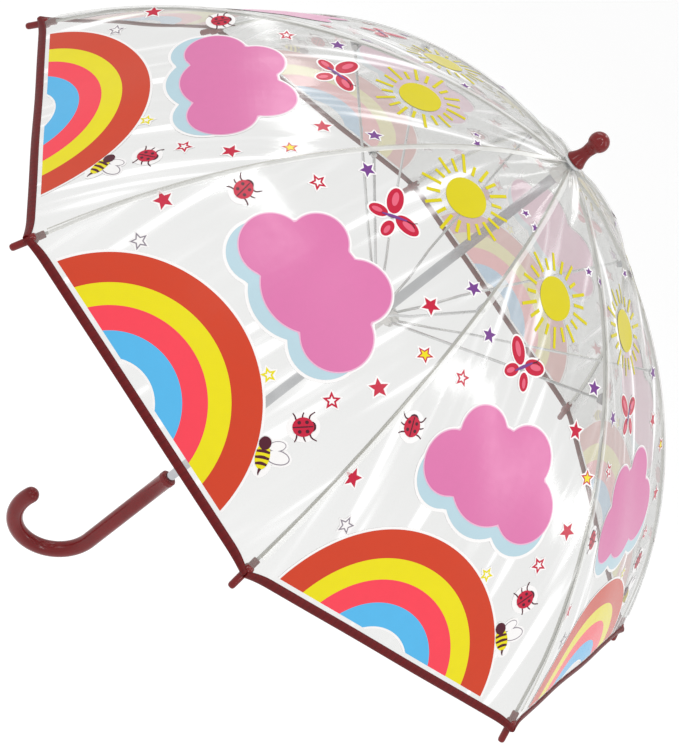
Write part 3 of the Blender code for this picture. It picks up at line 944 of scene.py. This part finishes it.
def seam_line():
    """The welded lap: denser than the film, with a bright edge."""
    finish = Finish("welded_lap")
    place = finish.coordinates()
    knurl = finish.noise(finish.stretched(place, (500.0, 500.0, 500.0)), 1.0)
    cloud = finish.noise(place, 30.0)
    parts = finish.node("ShaderNodeSeparateXYZ", inputs={"Vector": finish.coordinates("UV")}, output="X")
    line = parts.maths("LESS_THAN", parts, 0.5)
    lap_white = finish.mixed(cloud, linear(226, 226, 222), linear(244, 244, 242))
    line_grey = finish.mixed(cloud, linear(158, 156, 146), linear(188, 187, 180))
    return finish.shade(
        {
            "Base Color": finish.mixed(line, lap_white, line_grey),
            "Roughness": 0.12 + 0.1 * knurl,
            "Alpha": 0.40 + 0.20 * cloud + 0.15 * line,
            "Specular IOR Level": 0.8,
            "Normal": finish.bump(knurl, 0.05, 0.0001),
        }
    )


weld = seam_line()
cross = [(-0.0009, 0.0004), (-0.0003, 0.0007), (0.0005, 0.0006), (0.0020, 0.0005), (0.0038, 0.0001)]
bpy.ops.object.select_all(action="DESELECT")
bpy.ops.mesh.primitive_grid_add(x_subdivisions=len(cross) - 1, y_subdivisions=89, size=1)
lap = bpy.context.object
grid = read_points(lap) + (0.5, 0.5, 0)
place_across = np.interp(grid[:, 0], np.linspace(0, 1, 5), [c[0] for c in cross])
place_out = np.interp(grid[:, 0], np.linspace(0, 1, 5), [c[1] for c in cross])
lap_foot = rim_slope - 0.0145 / arc_radius
lap_slope = lap_foot + (hole_slope - lap_foot) * grid[:, 1]
near_crown = np.clip((lap_slope - hole_slope) / 0.06, 0.25, 1)
reach = arc_middle.x + (arc_radius + place_out) * np.sin(lap_slope)
rise = arc_middle.z + (arc_radius + place_out) * np.cos(lap_slope)
write_points(lap, np.column_stack([reach, place_across * near_crown, rise]))
bpy.ops.object.shade_smooth()
lap.data.materials.append(weld)
for k in range(1, 9):
    seam = lap.copy()
    seam.data = lap.data.copy()
    seam.data.transform(Matrix.Rotation(rib_turn(k), 4, "Z"))
    seam.name = f"seam_{k}"
    bpy.context.scene.collection.objects.link(seam)
    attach(seam, f"rib_{k}")
bpy.data.objects.remove(lap)


# Hem
# A maroon tape is folded over the film's edge all round and sewn down. It narrows and dips a
# little where it is drawn over each cap.

hem_height = 0.0064
hem_thickness = 0.0012
hem_end = float(half_width(0.0))


def hem_tape():
    """Woven tape with a close rib across it and a line of stitches."""
    finish = Finish("hem_tape")
    place = finish.coordinates("UV")
    rib = finish.node(
        "ShaderNodeTexWave",
        {"wave_type": "BANDS", "bands_direction": "X"},
        {"Vector": place, "Scale": 260.0, "Distortion": 0.6},
        1,
    )
    cloud = finish.noise(finish.stretched(place, (40.0, 300.0, 1.0)), 1.0, 3.0)
    stitches = finish.node(
        "ShaderNodeTexWave",
        {"wave_type": "BANDS", "bands_direction": "X"},
        {"Vector": place, "Scale": 65.0},
        1,
    )
    colour = finish.mixed(cloud, linear(84, 4, 8), linear(110, 8, 13))
    threaded = finish.mixed(0.3 * stitches**3.0, colour, linear(58, 3, 8))
    return finish.shade(
        {
            "Base Color": threaded,
            "Roughness": 0.30 + 0.22 * cloud,
            "Specular IOR Level": 0.22,
            "Normal": finish.bump(rib, 0.35, 0.0003),
        }
    )


tape = hem_tape()
hem_steps, hem_round = 48, 16
bpy.ops.object.select_all(action="DESELECT")
bpy.ops.mesh.primitive_grid_add(x_subdivisions=hem_steps, y_subdivisions=hem_round, size=1)
tape_grid = bpy.context.object
grid = read_points(tape_grid) + (0.5, 0.5, 0)
for side in (-1, 1):
    across = grid[:, 0] * hem_end
    near_tip = np.clip((across - (hem_end - 0.020)) / 0.020, 0, 1) ** 2
    turn = grid[:, 1] * 2 * math.pi
    tall = hem_height / 2 * (1 - 0.28 * near_tip)
    thick = hem_thickness * (1 + 0.9 * near_tip)
    up = hem_height / 2 - 0.0012 + tall * np.cos(turn) - 0.0022 * near_tip
    out = thick * np.sign(np.sin(turn)) * np.abs(np.sin(turn)) ** 0.8 + 0.0006 * near_tip
    flat = np.column_stack([side * across, up, out])
    for gore in range(1, 9):
        hem = tape_grid.copy()
        hem.data = tape_grid.data.copy()
        hem.name = f"hem_{gore}_{'left' if side < 0 else 'right'}"
        bpy.context.scene.collection.objects.link(hem)
        write_points(hem, flat)
        uvs = hem.data.uv_layers.active.data
        corners = np.empty(len(hem.data.loops), np.int32)
        hem.data.loops.foreach_get("vertex_index", corners)
        around = np.column_stack([across, grid[:, 1] * 0.018])
        uvs.foreach_set("uv", around[corners].astype(np.float32).ravel())
        bpy.ops.object.select_all(action="DESELECT")
        bpy.context.view_layer.objects.active = hem
        hem.select_set(True)
        bpy.ops.object.mode_set(mode="EDIT")
        all_faces(True)
        bpy.ops.mesh.remove_doubles(threshold=0.00001)
        bpy.ops.mesh.fill_holes(sides=0)
        all_faces(True)
        bpy.ops.mesh.normals_make_consistent(inside=False)
        bpy.ops.object.mode_set(mode="OBJECT")
        bpy.ops.object.shade_smooth_by_angle(angle=math.radians(60))
        hem.data.materials.append(tape)
        hang(hem, gore, side)
        half = bpy.data.objects[f"film_{gore}_{'left' if side < 0 else 'right'}_of_gore"]
bpy.data.objects.remove(tape_grid)


# Crown
# A clear washer presses the film on to the hub. The maroon knob, with a flared foot, a waist and
# a ball, is driven on to the shaft's end above it.

washer_low, washer_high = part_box("crown_washer")
finial_low, finial_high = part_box("finial")


def turned(profile, name, material, slot, sides=48):
    """A round piece, drawn up ring by ring from its lowest to its highest, with both ends closed."""
    bpy.ops.object.select_all(action="DESELECT")
    width, z = profile[0]
    bpy.ops.mesh.primitive_circle_add(vertices=sides, radius=width, fill_type="NGON", location=(0, 0, z))
    piece = bpy.context.object
    bpy.ops.object.mode_set(mode="EDIT")
    all_faces(True)
    for wider, higher in profile[1:]:
        grow(higher - z, wider / width, (0, 0, 1), (0, 0, higher))
        width, z = wider, higher
    all_faces(True)
    bpy.ops.mesh.normals_make_consistent(inside=False)
    bpy.ops.object.mode_set(mode="OBJECT")
    return settled(piece, name, material)


def washer_film():
    finish = Finish("washer_film")
    place = finish.coordinates()
    cloud = finish.noise(place, 120.0)
    return finish.shade(
        {
            "Base Color": finish.mixed(cloud, linear(226, 228, 228), linear(244, 245, 245)),
            "Roughness": 0.10 + 0.15 * cloud,
            "Alpha": 0.55 + 0.2 * cloud,
        }
    )


low, high, wide = washer_low.z, washer_high.z, washer_high.x
washer = turned(
    [
        (wide * 0.93, low),
        (wide, low + 0.0005),
        (wide, high - 0.0007),
        (wide * 0.96, high - 0.0002),
        (wide * 0.88, high),
    ],
    "crown_washer_moulded",
    washer_film(),
    "clear_film",
)
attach(washer, "root")
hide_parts("crown_washer")

foot, neck, ball_radius = 0.0080, 0.0048, 0.0080
foot_z, top_z = finial_low.z, finial_high.z
outline = [(foot * 0.9, foot_z), (foot * 0.98, foot_z + 0.0003)]
outline += [(foot, foot_z + 0.0009), (foot, foot_z + 0.0017)]
for i in range(1, 13):
    share = i / 12
    outline.append((neck + (foot - neck) * (1 - share) ** 2, foot_z + 0.0018 + 0.0105 * share))
ball_z = top_z - ball_radius
join = math.asin(neck / ball_radius)
for i in range(1, 22):
    angle = (math.pi - join) * (1 - i / 22)
    outline.append((ball_radius * math.sin(angle), ball_z + ball_radius * math.cos(angle)))
outline.append((0.0003, top_z))
knob = turned(outline, "finial_knob", maroon, "maroon_plastic", 56)
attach(knob, "root")
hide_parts("finial")


# Studio
# A white floor far below, so that no shadow comes near, an even white surround, and long soft
# lamps whose reflections draw the bright streaks on the film.


def floor_white():
    finish = Finish("studio_floor")
    cloud = finish.noise(finish.coordinates(), 0.6)
    return finish.shade(
        {
            "Base Color": finish.mixed(cloud, linear(252, 252, 252), linear(255, 255, 255)),
            "Roughness": 0.85,
            "Emission Color": (1, 1, 1, 1),
            "Emission Strength": 0.16,
        }
    )


bpy.ops.object.select_all(action="DESELECT")
bpy.ops.mesh.primitive_plane_add(size=60, location=(0, 0, -1.1))
floor = bpy.context.object
floor.name = "studio_floor"
floor.data.materials.append(floor_white())

world = bpy.data.worlds.new("surround")
world.use_nodes = True
world.node_tree.nodes["Background"].inputs["Color"].default_value = (1, 1, 1, 1)
world.node_tree.nodes["Background"].inputs["Strength"].default_value = 0.82
bpy.context.scene.world = world


def lamp(azimuth, elevation, distance, wide, long, power, turn=0.0):
    """A soft lamp that faces the canopy, placed by direction from it."""
    azimuth, elevation = math.radians(azimuth), math.radians(elevation)
    flat = math.cos(elevation)
    way = Vector((flat * math.cos(azimuth), flat * math.sin(azimuth), math.sin(elevation)))
    bpy.ops.object.light_add(type="AREA", location=aim + way * distance)
    light = bpy.context.object
    light.data.shape = "RECTANGLE"
    light.data.size = wide
    light.data.size_y = long
    light.data.energy = power
    facing = way.to_track_quat("Z", "Y").to_matrix() @ Matrix.Rotation(math.radians(turn), 3, "Z")
    light.rotation_euler = facing.to_euler()


lamp(57, 65, 2.6, 0.5, 0.5, 6)
lamp(20, 40, 2.4, 0.12, 1.8, 7)
lamp(95, 35, 2.4, 0.12, 1.8, 7)
lamp(150, 45, 2.4, 0.20, 1.6, 6)
lamp(-60, 45, 2.4, 0.20, 1.6, 6)
lamp(240, 50, 2.6, 0.4, 1.2, 6)
